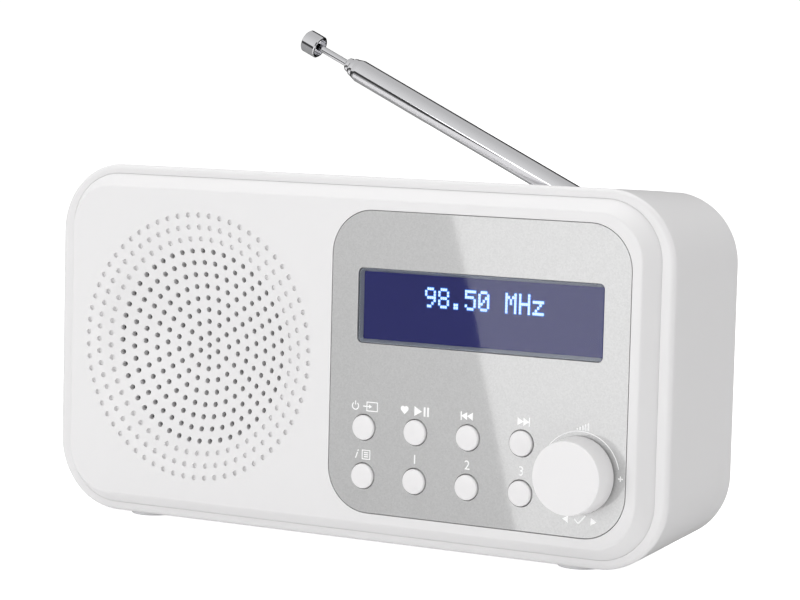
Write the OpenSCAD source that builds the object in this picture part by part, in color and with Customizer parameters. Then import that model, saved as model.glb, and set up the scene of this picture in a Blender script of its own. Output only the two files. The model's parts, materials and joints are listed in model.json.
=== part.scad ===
// Tabletop radio: rounded white case, dished speaker grille, silver control panel with display,
// eight push buttons, a push-and-turn knob and a telescopic aerial on the back.
// Modules draw in the case frame: X right, Y towards the back with 0 at the front face, Z up with 0
// at mid height. The last lines move every node so that Z 0 is under the feet and Y 0 is mid depth.

/* [Case] */
// Width of the case
case_w = 190; // [180:1:200]
// Height of the case without its feet
case_h = 98; // [96:1:104]
// Distance from the front face to the back edge
case_depth = 51; // [50:0.5:54]
// Outer corner radius at the front rim
case_r = 19.4; // [18:0.2:21]
// How far the raised front stands out from the rim
front_rise = 4.6; // [4:0.2:5]
// How far the sides close in from rim to back edge
draft = 2.4; // [1.5:0.1:2.6]
// Height of the feet below the case at its rim
foot_h = 0.8; // [0.6:0.1:2]

/* [Speaker grille] */
// Distance between two rings of holes
ring_pitch = 3.3; // [3.2:0.05:3.35]
// Number of rings cut right through
open_rings = 8; // [6:1:8]
// Number of rings in all, the outer ones blind
all_rings = 11; // [9:1:11]
// Diameter of a grille hole
hole_d = 1.5; // [1.2:0.1:1.7]
// Depth of the dish at its centre
dish_depth = 6.7; // [5:0.1:7]

/* [Controls] */
// Width of the silver panel
panel_w = 87.6; // [86:0.2:88]
// Height of the silver panel
panel_h = 80.6; // [78:0.2:81]
// Diameter of a push button
button_d = 6.7; // [6:0.1:7.4]
// Distance between button columns
button_dx = 15.7; // [14.5:0.1:16]
// Distance between button rows
button_dz = 13; // [12:0.1:14]
// How far a button can be pressed
button_travel = 0.5; // [0.3:0.1:0.5]
// Diameter of the knob at its base
knob_d = 20; // [18:0.5:20.5]
// Height of the knob's face above the front
knob_h = 8.1; // [7.5:0.1:10]

/* [Aerial] */
// Angle of the aerial above level
aerial_angle = 25.3; // [5:0.1:60]
// Outer diameter of the thickest tube
mast_d = 6.4; // [6:0.1:6.8]
// Distance from the pivot to the tip with only the rod drawn out
aerial_length = 120; // [115:1:125]
// How far the thin rod is drawn out
rod_out = 10.2; // [2:0.2:12]

/* [Hidden] */
$fn = 64;

// Case section: the core is the rectangle through the four corner centres
core_x = case_w / 2 - case_r;
core_z = case_h / 2 - case_r;
wall = 2.4;
rim_side = 3.65;
rim_top = 2.55;
rim_round = 1.5;
back_round = 1.2;
seat_depth = 6;
ledge = 2;
foot_x = 67.5;
foot_y = [12, 42];
foot_r = 6;
foot_seat = 0.6;
case_mid_z = case_h / 2 + foot_h;
case_mid_y = (case_depth - knob_h) / 2;

// Raised front
fit_gap = 0.1;
front_r = 15.8;
front_core = [case_w / 2 - rim_side - fit_gap - front_r, case_h / 2 - rim_top - fit_gap - front_r];
front_slope = 2.9;
front_edge = 0.8;
skin = 2.6;
tongue_y = front_rise + seat_depth;

// Speaker
speaker_x = -45.8;
dish_curve = 0.00594;
dish_blend = 0.7;
dish_r = 38.5;
dish_wall = 2;
dimple_depth = 0.7;
baffle_y = 5;
speaker_r = 33;
coil_r = 6.6;

// Control panel and what sits in it
panel_x = 41.4;
panel_t = 1.2;
panel_r = 12;
panel_gap = 0.15;
window_x = 41.65;
window_z = 15.05;
window_w = 72.2;
window_h = 20;
window_r = 1.4;
glass_w = 69.4;
glass_h = 17.1;
lens_t = 0.6;
border_y = 1.8;
button_x = 8.3;
button_z = -17.5;
button_proud = 0.8;
button_gap = 0.2;
switch_y = 6;
board_t = 1.6;
button_board_y = 9.5;
display_board_y = 6.5;
main_y = 20;
button_posts = [[4, -8], [75, -8]];
main_posts = [[16, -35], [64, -35], [16, 34.5], [64, 34.5]];
display_posts = [[3.4, 1.6], [79.9, 1.6], [9.3, 29.3], [74, 29.3]];
knob_x = 72.3;
knob_z = -24;
knob_gap = 0.9;
knob_face_d = knob_d - 1;
shaft_r = 3;
run_gap = 0.05;

// Back cover
cover_r = 15.1;
cover_y = 47.1;
cover_t = 3.3;
cover_back = cover_y + cover_t;
notch_x = [-62, 76];
notch_y = 41;
notch_z = 27;
notch_wall = 2;
post_x = 82.5;
post_z = 31;
post_r = 3.6;
post_split = 12;
post_floor = 20;
case_posts = [for (sx = [-1, 1], sz = [-1, 1]) [sx * post_x, sz * post_z]];

// Battery bay
cell_d = 14.2;
cell_l = 50;
cell_pitch = 14.9;
bay = [-8, 47.6];
bay_z = [-40, 21];
bay_y = 31;
door_t = 2.2;
hinge_in = 1.6;
hinge_up = 1.7;
pin_r = 0.9;
pin_l = 1.5;

// Aerial: s runs along it from the pivot
pivot = [68, 46, 33.6];
mast_s = [5, aerial_length - 18.2];
middle_out = 1.6;
inner_out = 1.5;
middle_d = 5.3;
inner_d = 4.1;
rod_d = 1.9;
tip_l = 4.8;
slide_gap = 0.1;

white = [0.93, 0.92, 0.93];
silver = [0.76, 0.77, 0.78];
board_green = [0.08, 0.32, 0.18];
metal = [0.75, 0.76, 0.78];
black = [0.06, 0.06, 0.07];

// ---------- shared shapes ----------

// A section [offset from the core, depth] carried round the four sides and corners of the case
module ring_sweep(section, core = [core_x, core_z]) {
    for (side = [0, 1]) {
        rotate([0, 180 * side, 0]) {
            translate([-core[0], 0, core[1]]) rotate([90, 0, 90]) linear_extrude(2 * core[0])
                polygon([for (p = section) [p[1], p[0]]]);
            translate([core[0], 0, -core[1]]) linear_extrude(2 * core[1]) polygon(section);
        }
    }
    for (corner = [0:3]) {
        sx = corner == 0 || corner == 3 ? 1 : -1;
        sz = corner < 2 ? 1 : -1;
        translate([sx * core[0], 0, sz * core[1]]) rotate([0, -90 * corner - 90, 0]) rotate([-90, 0, 0])
            rotate_extrude(angle = 90) polygon(section);
    }
}

// The same section filled in to the middle
module slab_sweep(section, y0, y1, core = [core_x, core_z]) {
    ring_sweep(section, core);
    translate([-core[0], y0, -core[1]]) cube([2 * core[0], y1 - y0, 2 * core[1]]);
}

// A plate with round corners, standing on depth y0 to y1
module plate(x, z, w, h, r, y0, y1) {
    translate([x, y1, z]) rotate([90, 0, 0]) linear_extrude(y1 - y0) {
        square([w - 2 * r, h], center = true);
        square([w, h - 2 * r], center = true);
        for (sx = [-1, 1], sz = [-1, 1]) translate([sx * (w / 2 - r), sz * (h / 2 - r)]) circle(r);
    }
}

// A rod along the depth from y0 to y1
module rod_y(x, z, r, y0, y1) {
    translate([x, y0, z]) rotate([-90, 0, 0]) cylinder(r = r, h = y1 - y0);
}

// A turned shape about an axis along the depth, from points [radius, depth]
module turned_y(x, z, points) {
    translate([x, 0, z]) rotate([-90, 0, 0]) rotate_extrude() polygon(points);
}

// A box from its lowest and highest corner
module block(low, high) {
    translate(low) cube(high - low);
}

function outer(y) = case_r - draft * (y - front_rise) / (case_depth - front_rise);
function arc(cx, cy, r, a0, a1, n) = [for (i = [0:n]) let (a = a0 + (a1 - a0) * i / n)
    [cx + r * cos(a), cy + r * sin(a)]];
function dish_at(r) = let (f = dish_depth - dish_curve * r * r)
    (f + sqrt(f * f + dish_blend * dish_blend)) / 2;
function button_at(column, row) = [button_x + column * button_dx, button_z - row * button_dz];
button_places = [for (c = [0:3], r = [0:1]) button_at(c, r)];

// ---------- case ----------

module case_shell() color(white) {
    rim_in = case_r - rim_side - ledge;
    section = concat(
        [[rim_in, front_rise]],
        arc(case_r - rim_round, front_rise + rim_round, rim_round, -90, 0, 6),
        arc(outer(case_depth) - back_round, case_depth - back_round, back_round, 0, 90, 5),
        [[cover_r + fit_gap, case_depth], [cover_r + fit_gap, cover_y],
         [outer(cover_y) - wall - ledge, cover_y], [outer(cover_y) - wall - ledge, cover_y - ledge],
         [outer(cover_y) - wall, cover_y - ledge - 1], [outer(tongue_y) - wall, tongue_y + ledge + 1],
         [rim_in, tongue_y + ledge]]);
    difference() {
        ring_sweep(section);
        plate(0, 0, case_w - 2 * rim_side, case_h - 2 * rim_top, front_r + fit_gap, -1, tongue_y);
        block([notch_x[0], notch_y, 30], [notch_x[1], case_depth + 5, 60]);
        for (i = [0:3]) foot(i, fit_gap, 10);
    }
}

module front_fascia() color(white) {
    face_r = front_r - front_slope;
    front_outline = concat(
        [[0, 0]],
        arc(face_r - front_edge, front_edge, front_edge, -90, -30, 4),
        [[front_r, front_rise], [front_r, tongue_y - 0.1], [0, tongue_y - 0.1]]);
    hollow = [[0, skin], [face_r - skin, skin], [front_r - skin, front_rise + 1],
              [front_r - skin, tongue_y + 1], [0, tongue_y + 1]];
    rings = [for (i = [0:12]) (i == 12 ? dish_r : (i + 0.5) * ring_pitch)];
    back = dish_depth + dish_wall;
    difference() {
        union() {
            difference() {
                slab_sweep(front_outline, 0, tongue_y - 0.1, front_core);
                slab_sweep(hollow, skin, tongue_y + 1, front_core);
            }
            turned_y(speaker_x, 0, concat([[0, 1], [0, back]],
                [for (r = rings) if (dish_at(r) + dish_wall > skin - 0.6 && r < speaker_r - 4)
                    [r, dish_at(r) + dish_wall]],
                [[speaker_r - 4.5, baffle_y], [speaker_r + 1, baffle_y], [speaker_r + 1, 1]]));
            for (p = case_posts) rod_y(p[0], p[1], post_r, skin - 0.5, post_split - 0.1);
            for (p = button_posts) rod_y(p[0], p[1], 2.5, skin - 0.5, button_board_y);
            for (p = main_posts) rod_y(p[0], p[1], 2.4, skin - 0.5, main_y - 0.05);
            for (p = display_posts) rod_y(p[0], p[1], 1.5, skin - 0.5, display_board_y - 0.05);
        }
        turned_y(speaker_x, 0, concat([[0, -1], [0, dish_at(0)]],
            [for (r = rings) if (r < dish_r) [r, dish_at(r)]], [[dish_r, 0], [dish_r, -1]]));
        grille_holes();
        plate(panel_x, 0, panel_w + 2 * panel_gap, panel_h + 2 * panel_gap, panel_r + panel_gap, -1, panel_t);
        plate(window_x, window_z, window_w + 2, window_h + 2, window_r + 0.6, -1, 5);
        for (p = button_places) rod_y(p[0], p[1], button_d / 2 + button_gap, -1, 5);
        rod_y(knob_x, knob_z, 4, -1, 5);
        for (p = case_posts) rod_y(p[0], p[1], 1.25, 4, post_split + 1);
        for (p = button_posts) rod_y(p[0], p[1], 0.9, 4, 12);
        for (p = main_posts) rod_y(p[0], p[1], 1.05, 12, main_y + 1);
        for (p = display_posts) rod_y(p[0], p[1], 0.6, 3.2, 8);
        for (p = speaker_holes) rod_y(p[0], p[1], 0.9, 2, baffle_y + 1);
    }
}

speaker_holes = [for (a = [45:90:315])
    [speaker_x + (speaker_r - 1.6) * cos(a), (speaker_r - 1.6) * sin(a)]];

// One hole in the middle, then six more in each ring than in the ring before
module grille_holes() {
    rod_y(speaker_x, 0, hole_d / 2, 0, 12);
    for (k = [1:all_rings], i = [0:6 * k - 1]) {
        a = 90 + 60 * i / k;
        r = k * ring_pitch;
        depth = dish_at(r);
        rod_y(speaker_x + r * cos(a), r * sin(a), hole_d / 2, depth - 1,
            k <= open_rings ? depth + dish_wall + 1.6 : depth + dimple_depth);
    }
}

module rear_cover() color(white) {
    outline = [[0, cover_y], [cover_r, cover_y], [cover_r, cover_back - 0.6], [cover_r - 0.6, cover_back],
               [0, cover_back]];
    top_z = core_z + outer(notch_y) - wall - 0.4;
    side_top = core_z + outer(cover_y) - wall - ledge - 0.2;
    low = [notch_x[0] - notch_wall, notch_y - notch_wall, notch_z - notch_wall];
    difference() {
        union() {
            difference() {
                slab_sweep(outline, cover_y, cover_back);
                block([notch_x[0], cover_y - 1, notch_z], [notch_x[1], cover_back + 1, 60]);
            }
            difference() {
                union() {
                    block(low, [notch_x[1] + notch_wall, cover_back - 0.2, side_top]);
                    block(low, [notch_x[1] + notch_wall, notch_y, top_z]);
                }
                block([notch_x[0], notch_y, notch_z], [notch_x[1], 60, 60]);
            }
            for (p = case_posts) rod_y(p[0], p[1], 4.2, post_split + 0.1, cover_back - 0.3);
            for (p = io_posts) rod_y(p[0], p[1], 2.1, io_y + board_t + 0.05, cover_y + 0.3);
        }
        for (p = case_posts) {
            rod_y(p[0], p[1], 3, post_floor, 60);
            rod_y(p[0], p[1], 1.6, 10, 60);
        }
        rod_y(pivot[0], pivot[2], 2.5 + run_gap, 30, 60);
        block([bay[0] - 0.2, 40, bay_z[0] - 0.2], [bay[1] + 0.2, 60, bay_z[1] + 0.2]);
        rod_y(jack_x, headphone_z, 3.2, 40, 60);
        plate(jack_x, usb_z, 10, 4.4, 1.9, 40, 60);
        for (i = [0:4]) plate(-45, -26 + 7 * i, 34, 2.4, 1.1, 40, 60);
        hinge_rod(pin_r + run_gap, bay[0] - pin_l - 0.2, bay[1] + pin_l + 0.2);
        for (p = io_posts) rod_y(p[0], p[1], 0.9, io_y, 42);
    }
}

// Foot i: two near the front, two near the back, each long enough to reach the same floor
module foot(i, extra, drop) {
    side = i % 2 == 0 ? -1 : 1;
    y = i < 2 ? foot_y[0] : foot_y[1];
    translate([side * foot_x, y, -case_h / 2 - foot_h - drop])
        cylinder(r = foot_r + extra, h = foot_h + case_r - outer(y) + foot_seat + drop);
}

module rubber_feet() color("white") {
    for (i = [0:3]) foot(i, 0, 0);
}

module screw(x, z, y_head, y_tip, r, head_r) {
    difference() {
        union() {
            rod_y(x, z, r, y_tip, y_head);
            rod_y(x, z, head_r, y_head, y_head + 2);
        }
        for (a = [0, 90]) translate([x, y_head + 1.2, z]) rotate([0, a, 0])
            translate([-head_r * 0.6, 0, -0.4]) cube([head_r * 1.2, 2, 0.8]);
    }
}

module case_screws() color(metal) {
    for (p = case_posts) screw(p[0], p[1], post_floor, 5, 1.2, 2.8);
}

// ---------- control panel and display ----------

module control_panel() color(silver) difference() {
    plate(panel_x, 0, panel_w, panel_h, panel_r, 0, panel_t - 0.05);
    plate(window_x, window_z, window_w, window_h, window_r, -1, 5);
    for (p = button_places) rod_y(p[0], p[1], button_d / 2 + button_gap, -1, 5);
    rod_y(knob_x, knob_z, 4, -1, 5);
}

module display_bezel() color([0.52, 0.55, 0.58]) difference() {
    union() {
        plate(window_x, window_z, window_w - 0.2, window_h - 0.2, window_r - 0.1, lens_t + 0.2, 3);
        plate(window_x, window_z, window_w + 1.6, window_h + 1.6, window_r + 0.4, panel_t, 3.9);
    }
    hull() {
        plate(window_x, window_z, glass_w + 2.2, glass_h + 2.2, 1, lens_t, lens_t + 0.2);
        plate(window_x, window_z, glass_w, glass_h, 0.7, border_y - 0.01, border_y);
    }
    plate(window_x, window_z, glass_w, glass_h, 0.7, border_y - 0.1, 5);
    plate(window_x, window_z, glass_w + 1.8, glass_h + 1.8, 0.7, border_y + 0.3, 5);
}

module display_lens() color([0.3, 0.35, 0.6, 0.4]) {
    plate(window_x, window_z, window_w - 0.2, window_h - 0.2, window_r - 0.1, 0.15, 0.15 + lens_t);
}

module display_glass() color([0.13, 0.13, 0.42]) {
    plate(window_x, window_z, glass_w + 1.6, glass_h + 1.6, 0.6, border_y + 0.35, 3.85);
}

module display_backlight() color("white") {
    plate(window_x, window_z, 76, 25, 1.5, 4, 6.4);
}

module display_board() color(board_green) difference() {
    plate(window_x, window_z, 80, 32, 1, display_board_y, display_board_y + board_t);
    for (p = display_posts) rod_y(p[0], p[1], 0.8, 0, 20);
    rod_y(post_x, post_z, post_r + 0.4, 0, 20);
}

// ---------- buttons and knob ----------

module push_button(column, row) color(white) {
    p = button_at(column, row);
    r = button_d / 2;
    flange = skin + 0.1;
    turned_y(p[0], p[1], concat(
        [[0, -button_proud]],
        [for (i = [0:4]) [(r - 0.5) * i / 4, -button_proud + 0.15 * pow(i / 4, 2)]],
        arc(r - 0.5, -button_proud + 0.65, 0.5, -70, 0, 4),
        [[r, flange], [r + 1.1, flange], [r + 1.1, flange + 0.8], [1.5, flange + 0.8],
         [1.5, switch_y - button_travel - 0.1], [0, switch_y - button_travel - 0.1]]));
}

module button_board() color(board_green) difference() {
    plate(39.4, -23, 78.4, 34, 1.5, button_board_y + 0.05, button_board_y + board_t);
    for (p = button_posts) rod_y(p[0], p[1], 1.1, 0, 20);
    for (i = [0, 1]) rod_y(main_posts[i][0], main_posts[i][1], 2.7, 0, 20);
}

module button_switches() color(black) {
    for (p = button_places) {
        block([p[0] - 3, switch_y + 0.7, p[1] - 3], [p[0] + 3, button_board_y, p[1] + 3]);
        rod_y(p[0], p[1], 1.7, switch_y, switch_y + 1);
    }
}

module knob() color(white) difference() {
    turned_y(knob_x, knob_z, concat(
        [[0, -knob_h]],
        arc(knob_face_d / 2 - 0.6, -knob_h + 0.6, 0.6, -90, 0, 5),
        [[knob_d / 2, -knob_gap], [knob_d / 2 - 1.8, -knob_gap], [knob_face_d / 2 - 2, -knob_h + 2],
         [4.8, -knob_h + 2], [4.8, -knob_gap - 0.2], [0, -knob_gap - 0.2]]));
    rod_y(knob_x, knob_z, shaft_r + run_gap, -knob_h + 2, 5);
}

module encoder_shaft() color(metal) difference() {
    rod_y(knob_x, knob_z, shaft_r, -knob_h + 2.2, 5.4);
    block([knob_x - 5, -knob_h, knob_z + 2], [knob_x + 5, -1, knob_z + 5]);
}

module encoder_slider() color(black) {
    rod_y(knob_x, knob_z, 2.8, 5.5, 6.2);
}

module encoder_body() color(metal) difference() {
    union() {
        block([knob_x - 6, 3, knob_z - 6], [knob_x + 6, button_board_y, knob_z + 6]);
        rod_y(knob_x, knob_z, 3.75, 0.1, 4);
    }
    rod_y(knob_x, knob_z, shaft_r + run_gap, -1, 7.2);
}

// ---------- speaker ----------

module speaker_gasket() color(black) difference() {
    rod_y(speaker_x, 0, speaker_r, baffle_y + 0.05, baffle_y + 1);
    rod_y(speaker_x, 0, speaker_r - 4.5, 0, 20);
    for (p = speaker_holes) rod_y(p[0], p[1], 1.4, 0, 20);
}

module speaker_frame() color([0.3, 0.3, 0.32]) difference() {
    turned_y(speaker_x, 0, [[speaker_r, 6.05], [speaker_r, 7.2], [29.7, 7.2], [28.9, 10.2], [14.5, 20],
        [14.5, 22], [10, 22], [10, 20], [13, 18.9], [27.7, 9.6], [28.5, 6.05]]);
    for (a = [0:60:300]) translate([speaker_x, 0, 0]) rotate([0, a, 0])
        block([-4, 11, 15.5], [4, 17, 40]);
    for (p = speaker_holes) rod_y(p[0], p[1], 1.3, 0, 20);
}

// Cone with its surround and the coil's former in one piece
module speaker_cone() color([0.12, 0.12, 0.13]) turned_y(speaker_x, 0, concat(
    [[27.3, 6.2], [27.3, 6.6]],
    arc(25, 6.6, 1.8, 0, 180, 8),
    [[23, 6.9], [8.3, 17.4], [coil_r, 17.4], [coil_r, 26], [coil_r - 0.4, 26], [coil_r - 0.4, 16.9],
     [7.5, 16.9], [22.6, 6.4]],
    arc(25, 6.2, 1.8, 180, 0, 8)));

module speaker_dust_cap() color([0.1, 0.1, 0.11]) turned_y(speaker_x, 0, concat(
    [for (i = [0:6]) [7.4 * i / 6, 13.6 + 2.6 * pow(i / 6, 2)]],
    [for (i = [6:-1:0]) [7.4 * i / 6, 14.1 + 2.6 * pow(i / 6, 2)]]));

module speaker_magnet() color([0.2, 0.2, 0.22]) difference() {
    union() {
        rod_y(speaker_x, 0, 18, 22.1, 24);
        rod_y(speaker_x, 0, 22.5, 24, 33);
        rod_y(speaker_x, 0, 18, 33, 35);
    }
    difference() {
        rod_y(speaker_x, 0, coil_r + 0.4, 20, 31);
        rod_y(speaker_x, 0, coil_r - 0.8, 22.1, 32);
    }
}

module speaker_screws() color(metal) {
    for (p = speaker_holes) screw(p[0], p[1], 7.3, 2.6, 0.85, 1.6);
}

// ---------- electronics ----------

jack_x = 72;
headphone_z = 0;
usb_z = -17;
io_y = 31.2;
io_posts = [[64.5, -9], [79.5, -9]];

module main_board() color(board_green) difference() {
    plate(42, 0, 66, 76, 1.5, main_y, main_y + board_t);
    for (p = main_posts) rod_y(p[0], p[1], 1.3, 0, 40);
}

module board_screws() color(metal) {
    for (p = main_posts) screw(p[0], p[1], main_y + board_t + 0.05, main_y - 6, 1, 2.2);
    for (p = button_posts) screw(p[0], p[1], button_board_y + board_t + 0.05, 5, 0.85, 1.9);
    for (p = display_posts) screw(p[0], p[1], display_board_y + board_t + 0.05, 4, 0.55, 1.3);
    for (p = io_posts) mirror([0, 1, 0]) screw(p[0], p[1], -io_y + 0.05, -io_y - 7, 0.85, 1.9);
}

module tuner_can() color(metal) {
    block([48, main_y + board_t + 0.05, 0], [70, main_y + board_t + 5, 26]);
}

module amplifier_chip() color(black) {
    block([18, main_y + board_t + 0.05, 12], [28, main_y + board_t + 2, 20]);
    block([33, main_y + board_t + 0.05, 10], [41, main_y + board_t + 1.5, 18]);
}

module capacitors() color([0.1, 0.1, 0.3]) {
    for (i = [0:3]) rod_y(20 + 9 * i, -16, 3.2, main_y + board_t + 0.05, main_y + board_t + 6.8);
}

module io_board() color(board_green) difference() {
    plate(jack_x, -9, 20, 34, 1, io_y, io_y + board_t);
    for (p = io_posts) rod_y(p[0], p[1], 1.1, 20, 40);
}

module headphone_jack() color(black) difference() {
    union() {
        block([jack_x - 5.5, io_y + board_t + 0.05, headphone_z - 5.5],
              [jack_x + 5.5, cover_y - 0.1, headphone_z + 5.5]);
        rod_y(jack_x, headphone_z, 3, cover_y - 1, cover_back);
    }
    rod_y(jack_x, headphone_z, 1.8, cover_back - 14, 60);
}

module usb_socket() color(metal) difference() {
    plate(jack_x, usb_z, 9.4, 3.8, 1.7, io_y + board_t + 0.05, cover_back - 0.3);
    plate(jack_x, usb_z, 8.8, 3.2, 1.4, cover_back - 8, 60);
}

module speaker_lead() color("firebrick") {
    for (i = [0, 1]) lead([[-31, 17.8, 14 + 2 * i], [-26, 19, 20 + 2 * i], [-12, 18, 24 + 2 * i],
        [2, 18, 22 + 2 * i], [11.5, 19.2, 18 + 2 * i]], 0.7);
}

// A thin round wire through the given points
module lead(path, r) {
    for (i = [0:len(path) - 2]) hull() {
        translate(path[i]) sphere(r, $fn = 8);
        translate(path[i + 1]) sphere(r, $fn = 8);
    }
}

module ribbon_cable() color([0.8, 0.8, 0.82]) {
    block([34, button_board_y + board_t + 0.1, -20], [50, main_y - 0.1, -19.4]);
    block([34, 8.3, 6], [50, main_y - 0.1, 6.6]);
}

// ---------- battery bay ----------

module battery_tray() color(white) difference() {
    block([bay[0] - 2, bay_y - 2, bay_z[0] - 2], [bay[1] + 2, cover_y - 0.1, bay_z[1] + 2]);
    block([bay[0], bay_y, bay_z[0]], [bay[1], 60, bay_z[1]]);
}

function cell_z(i) = bay_z[0] + 0.9 + cell_pitch * (i + 0.5);
cell_y = bay_y + 0.3 + cell_d / 2;
spring_l = 5;

module battery_cells() color([0.2, 0.25, 0.3]) {
    for (i = [0:3]) {
        flip = i % 2;
        x = flip ? bay[1] - spring_l : bay[0] + spring_l;
        translate([x, cell_y, cell_z(i)]) rotate([0, flip ? -90 : 90, 0]) {
            cylinder(r = cell_d / 2, h = cell_l - 1.2);
            cylinder(r = 2.7, h = cell_l);
        }
    }
}

module battery_springs() color(metal) {
    for (i = [0:3]) {
        flip = i % 2;
        x = flip ? bay[1] - 0.6 : bay[0] + 0.6;
        translate([x, cell_y, cell_z(i)]) rotate([0, flip ? -90 : 90, 0]) {
            difference() {
                cylinder(r1 = 5, r2 = 3, h = spring_l - 0.8);
                translate([0, 0, -1]) cylinder(r1 = 4.5, r2 = 2.1, h = 6);
            }
        }
    }
}

module battery_plates() color(metal) {
    for (x = [bay[0] + 0.05, bay[1] - 0.55], i = [0:3])
        block([x, cell_y - 5.5, cell_z(i) - 5.5], [x + 0.5, cell_y + 5.5, cell_z(i) + 5.5]);
}

// A rod along the width, about the door's hinge line
module hinge_rod(r, x0, x1) {
    translate([x0, cover_back - hinge_in, bay_z[0] + hinge_up]) rotate([0, 90, 0])
        cylinder(r = r, h = x1 - x0);
}

module battery_door() color(white) difference() {
    union() {
        block([bay[0], cover_back - door_t, bay_z[0] + hinge_up], [bay[1], cover_back, bay_z[1]]);
        difference() {
            hinge_rod(hinge_in - 0.05, bay[0], bay[1]);
            block([bay[0] - 1, cover_back - 5, bay_z[0] - 1],
                  [bay[1] + 1, cover_back - door_t, bay_z[0] + 6]);
        }
        hinge_rod(pin_r, bay[0] - pin_l, bay[1] + pin_l);
    }
    plate((bay[0] + bay[1]) / 2, bay_z[1] - 7, 16, 6, 2.9, cover_back - 0.9, 60);
}

// ---------- aerial ----------

// Places a shape drawn along +Z, with its flat side towards +Y, along the aerial at distance s
module along(s) {
    translate(pivot) rotate([0, -90 + aerial_angle, 0]) translate([0, 0, s]) children();
}

module tube(r_out, r_in, s0, s1, crimp) {
    along(0) rotate_extrude() polygon(concat(
        [[r_in, s0], [r_out, s0], [r_out, s1 - crimp], [r_out - 0.35, s1], [r_in, s1]]));
}

module aerial_base() color("silver") difference() {
    union() {
        rod_y(pivot[0], pivot[2], 5.5, notch_y + 0.1, notch_y + 1.4);
        rod_y(pivot[0], pivot[2], 2.5, notch_y - notch_wall - 0.3, notch_y + 0.5);
        for (side = [-1, 1]) along(0) {
            translate([side * 2.35 - 0.85, 0, 0]) rotate([0, 90, 0]) cylinder(r = 3, h = 1.7);
            translate([side * 2.35 - 0.85, notch_y + 0.2 - pivot[1], -3])
                cube([1.7, pivot[1] - notch_y - 0.2, 6]);
        }
    }
    along(0) translate([-5, 0, 0]) rotate([0, 90, 0]) cylinder(r = 1 + run_gap, h = 10);
    rod_y(pivot[0], pivot[2], 1.2, 30, notch_y + 0.2);
}

module aerial_washer() color(metal) difference() {
    rod_y(pivot[0], pivot[2], 4.6, notch_y - notch_wall - 1.1, notch_y - notch_wall - 0.35);
    rod_y(pivot[0], pivot[2], 1.3, 30, 45);
}

module aerial_screw() color(metal) {
    rod_y(pivot[0], pivot[2], 1.15, notch_y - notch_wall - 1.2, notch_y);
    rod_y(pivot[0], pivot[2], 2.6, notch_y - notch_wall - 3, notch_y - notch_wall - 1.15);
}

module aerial_root() color(metal) difference() {
    union() {
        along(0) translate([-1.4, 0, 0]) rotate([0, 90, 0]) cylinder(r = 2.9, h = 2.8);
        along(0) translate([-1.4, -2.4, 0]) cube([2.8, 4.8, mast_s[0] + 1]);
        along(mast_s[0]) cylinder(r = mast_d / 2 - 0.45, h = 4);
    }
    along(0) translate([-5, 0, 0]) rotate([0, 90, 0]) cylinder(r = 1 + run_gap, h = 10);
}

module aerial_pin() color(metal) {
    along(0) translate([-3.4, 0, 0]) rotate([0, 90, 0]) cylinder(r = 1, h = 6.8);
}

module aerial_mast() color("silver") {
    tube(mast_d / 2, mast_d / 2 - 0.45, mast_s[0], mast_s[1], 0.9);
}

middle_end = mast_s[1] + middle_out;
inner_end = middle_end + inner_out;
rod_end = inner_end + rod_out;

module aerial_middle() color("silver") {
    tube(middle_d / 2, middle_d / 2 - 0.5, 10, middle_end, 0.4);
}

module aerial_inner() color("silver") {
    tube(inner_d / 2, rod_d / 2 + slide_gap, 12, inner_end, 0.4);
}

module aerial_rod() color("silver") {
    along(24) cylinder(r = rod_d / 2, h = rod_end + 2 - 24);
}

module aerial_tip() color("silver") along(rod_end) difference() {
    rotate_extrude() polygon([[rod_d / 2 + 0.05, 0], [3, 0], [3.25, 0.25], [3.25, tip_l - 0.3], [2.95, tip_l],
        [0, tip_l], [0, 2.1], [rod_d / 2 + 0.05, 2.1]]);
}

// ---------- placing ----------

module placed() {
    translate([0, -case_mid_y, case_mid_z]) children();
}

placed() case_shell();
placed() front_fascia();
placed() rear_cover();
placed() control_panel();
placed() display_bezel();
placed() display_lens();
placed() display_glass();
placed() display_backlight();
placed() display_board();
placed() push_button(0, 0);  // power_button
placed() push_button(1, 0);  // play_button
placed() push_button(2, 0);  // previous_button
placed() push_button(3, 0);  // next_button
placed() push_button(0, 1);  // info_button
placed() push_button(1, 1);  // preset_1_button
placed() push_button(2, 1);  // preset_2_button
placed() push_button(3, 1);  // preset_3_button
placed() button_board();
placed() button_switches();
placed() knob();
placed() encoder_shaft();
placed() encoder_slider();
placed() encoder_body();
placed() speaker_gasket();
placed() speaker_frame();
placed() speaker_cone();
placed() speaker_dust_cap();
placed() speaker_magnet();
placed() speaker_screws();
placed() main_board();
placed() tuner_can();
placed() amplifier_chip();
placed() capacitors();
placed() io_board();
placed() headphone_jack();
placed() usb_socket();
placed() battery_tray();
placed() battery_springs();
placed() battery_plates();
placed() battery_cells();
placed() battery_door();
placed() aerial_base();
placed() aerial_washer();
placed() aerial_screw();
placed() aerial_root();
placed() aerial_pin();
placed() aerial_mast();
placed() aerial_middle();
placed() aerial_inner();
placed() aerial_rod();
placed() aerial_tip();
placed() rubber_feet();
placed() case_screws();
placed() board_screws();
placed() speaker_lead();
placed() ribbon_cable();
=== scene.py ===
import json
import math

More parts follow.
